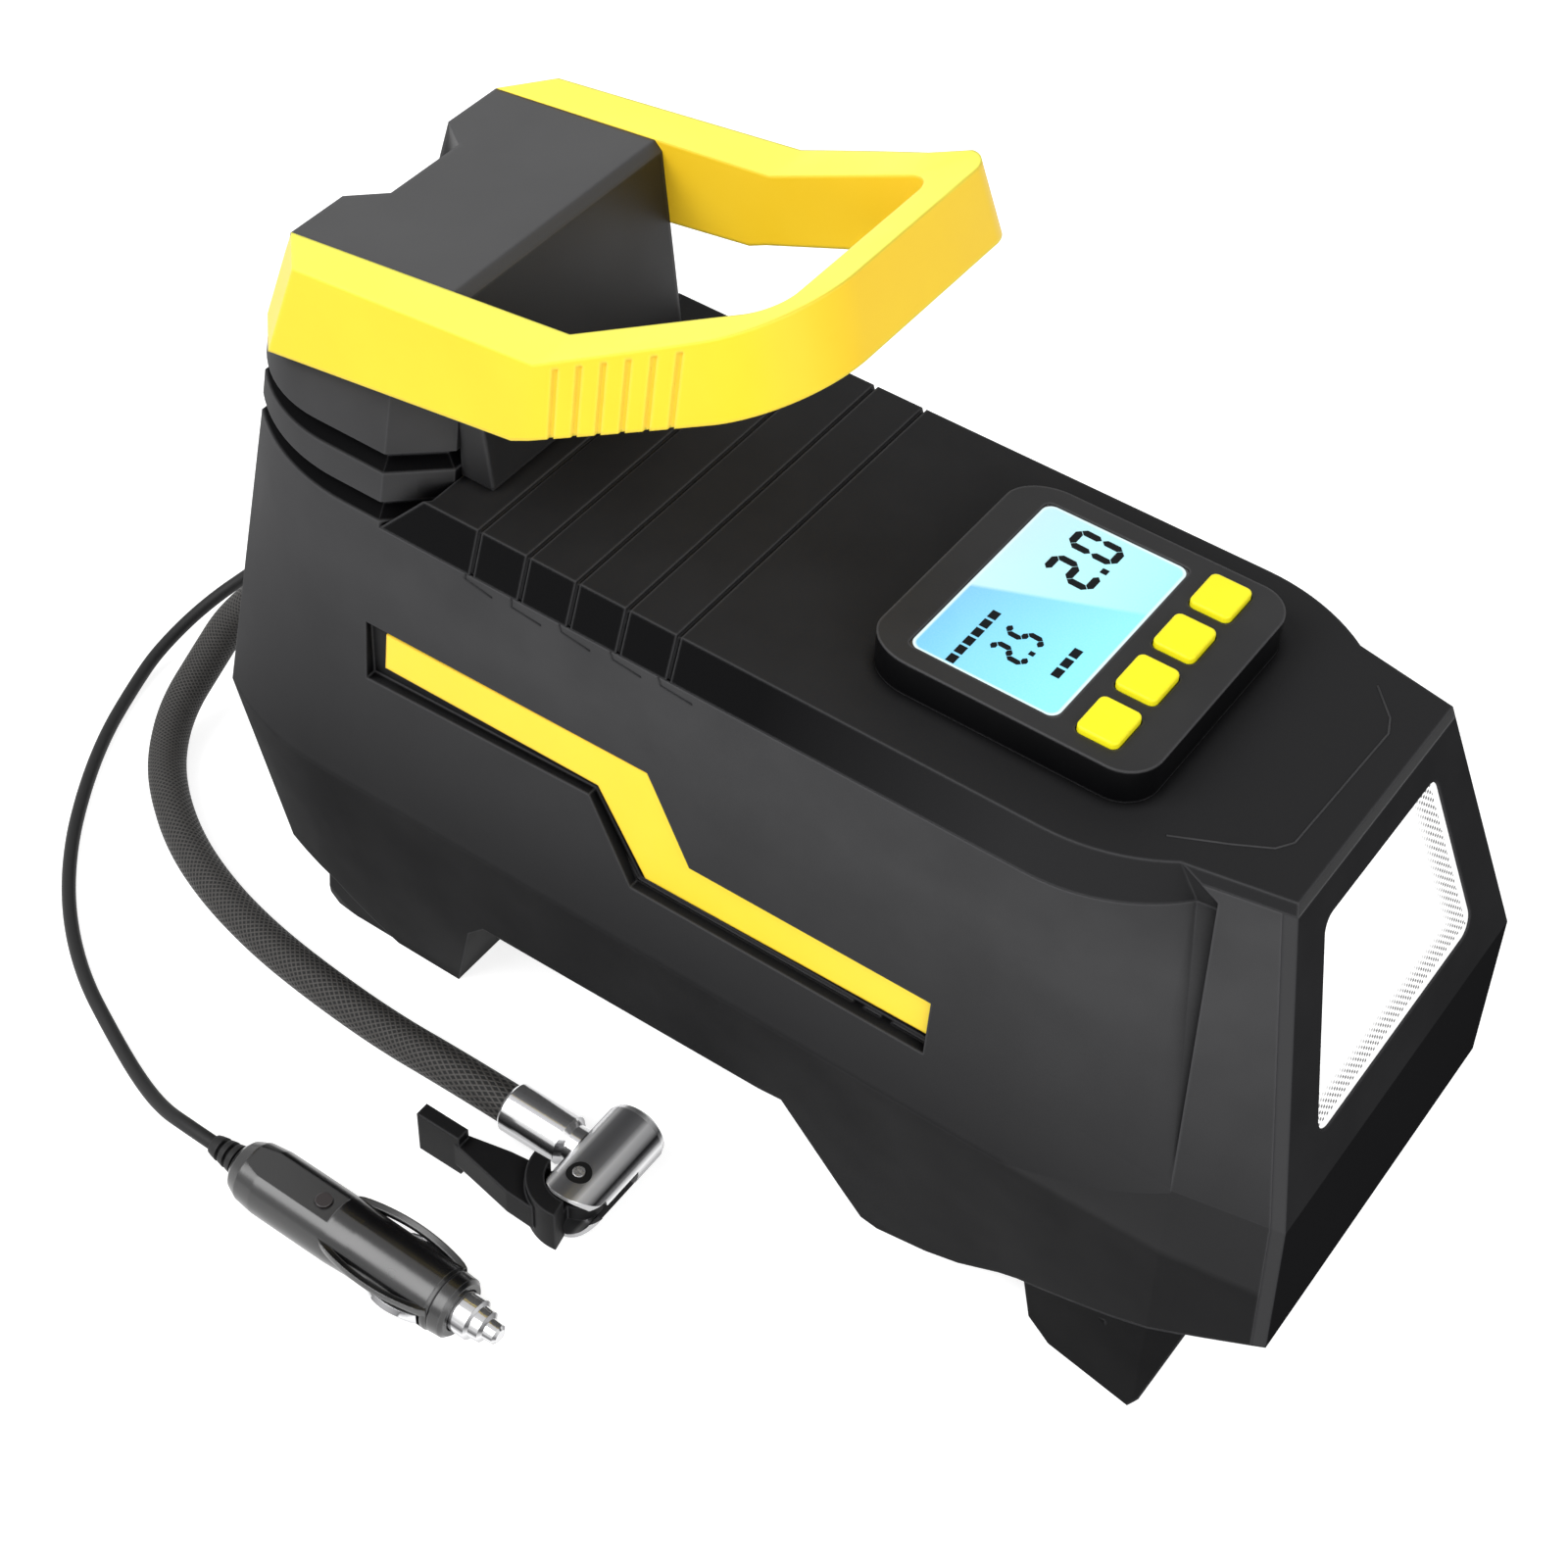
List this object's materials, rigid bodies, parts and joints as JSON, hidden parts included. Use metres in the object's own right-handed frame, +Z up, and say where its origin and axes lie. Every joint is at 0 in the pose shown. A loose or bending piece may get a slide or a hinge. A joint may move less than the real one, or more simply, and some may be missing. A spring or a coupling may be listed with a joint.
{
  "type": "portable tire inflator",
  "caption": "Portable 12 V tire inflator with a boxy grey case, front lamp, sloped carrying handle, display with keys, air hose with lever chuck and a cord with an accessory plug.",
  "frame": {"origin": "centre of the case's length and width, on the ground under the feet", "axes": "+X towards the lamp end, +Y towards the case's left side, +Z up"},
  "size_m": [0.3606, 0.1841, 0.2389],
  "materials": {
    "case_grey": "fine matte grain",
    "trim_black": "fine matte grain",
    "yellow": "smooth satin",
    "display_black": "smooth satin",
    "key_yellow": "smooth satin",
    "window_clear": "polished",
    "lcd_blue": "smooth, lit from behind",
    "lens_white": "translucent with fine prisms",
    "reflector": "bright metallised",
    "board": "coated board",
    "rubber_black": "smooth matte",
    "wire_red": "smooth",
    "steel": "machined",
    "bright_chrome": "polished",
    "alloy": "die cast",
    "brass": "machined",
    "nylon": "moulded",
    "seal_white": "smooth",
    "lamp_red": "clear, unlit"
  },
  "bodies": {
    "case": {"left_shell": "case_grey", "right_shell": "case_grey", "top_deck": "trim_black", "front_bezel": "trim_black", "lamp_lens": "lens_white", "lamp_reflector": "reflector", "led_board": "board", "handle_block": "trim_black", "handle_loop": "yellow", "stripe_left": "yellow", "stripe_right": "yellow", "display_housing": "display_black", "display_window": "window_clear", "lcd_panel": "lcd_blue", "control_board": "board", "front_skid": "trim_black", "rear_skid": "trim_black", "rubber_pads": "rubber_black", "case_screws": "steel", "motor_can": "steel", "motor_end_cap": "trim_black", "gear_axle": "steel", "gear_frame": "alloy", "cylinder": "alloy", "valve_plate": "steel", "cylinder_head": "alloy", "pressure_sensor": "trim_black", "outlet_tube": "seal_white", "power_wires": "wire_red", "hose_gland": "rubber_black", "cord_gland": "rubber_black", "hose_boot": "rubber_black", "cord_boot": "rubber_black", "air_hose": "rubber_black", "power_cord": "rubber_black", "hose_ferrule": "bright_chrome", "chuck_body": "bright_chrome", "chuck_seal": "rubber_black", "lever_pin": "steel", "plug_relief": "rubber_black", "plug_body": "trim_black", "plug_lamp": "lamp_red", "plug_ring": "trim_black"},
    "key_1": {"button_1": "key_yellow"},
    "key_2": {"button_2": "key_yellow"},
    "key_3": {"button_3": "key_yellow"},
    "key_4": {"button_4": "key_yellow"},
    "lever": {"chuck_lever": "trim_black"},
    "tip": {"plug_tip": "bright_chrome"},
    "contact_left": {"plug_contact_left": "bright_chrome"},
    "contact_right": {"plug_contact_right": "bright_chrome"},
    "crank": {"crank_gear": "nylon", "crank_pin": "steel"},
    "rotor": {"motor_shaft": "steel", "drive_pinion": "brass", "cooling_fan": "nylon"},
    "piston": {"piston_rod": "nylon", "piston_seal": "seal_white"}
  },
  "joints": [
    {"name": "key_1_press", "type": "slide", "parent": "case", "child": "key_1", "axis": [0, 0, -1], "range_m": [0, 0.001], "stiffness_N_per_m": 1500, "springref_m": -0.0006},
    {"name": "key_2_press", "type": "slide", "parent": "case", "child": "key_2", "axis": [0, 0, -1], "range_m": [0, 0.001], "stiffness_N_per_m": 1500, "springref_m": -0.0006},
    {"name": "key_3_press", "type": "slide", "parent": "case", "child": "key_3", "axis": [0, 0, -1], "range_m": [0, 0.001], "stiffness_N_per_m": 1500, "springref_m": -0.0006},
    {"name": "key_4_press", "type": "slide", "parent": "case", "child": "key_4", "axis": [0, 0, -1], "range_m": [0, 0.001], "stiffness_N_per_m": 1500, "springref_m": -0.0006},
    {"name": "lever_swing", "type": "hinge", "parent": "case", "child": "lever", "pos_m": [-0.012, -0.0785, 0.0081], "axis": [0, 0, 1], "range_deg": [0, 35]},
    {"name": "tip_press", "type": "slide", "parent": "case", "child": "tip", "axis": [-0.9999, 0.0105, 0], "range_m": [0, 0.0025], "stiffness_N_per_m": 1200, "springref_m": -0.001},
    {"name": "contact_left_press", "type": "slide", "parent": "case", "child": "contact_left", "axis": [-0.0105, -0.9999, 0], "range_m": [0, 0.0012], "stiffness_N_per_m": 2500, "springref_m": -0.0004},
    {"name": "contact_right_press", "type": "slide", "parent": "case", "child": "contact_right", "axis": [0.0105, 0.9999, 0], "range_m": [0, 0.0012], "stiffness_N_per_m": 2500, "springref_m": -0.0004},
    {"name": "crank_spin", "type": "hinge", "parent": "case", "child": "crank", "pos_m": [0.0515, 0, 0.053], "axis": [1, 0, 0], "continuous": true},
    {"name": "rotor_spin", "type": "hinge", "parent": "case", "child": "rotor", "pos_m": [0, 0, 0.08], "axis": [1, 0, 0], "continuous": true},
    {"name": "piston_stroke", "type": "slide", "parent": "case", "child": "piston", "axis": [0, 0, -1], "range_m": [0, 0.018]}
  ],
  "couplings": [
    {"joint": "rotor_spin", "follows": "crank_spin", "ratio": -5}
  ]
}
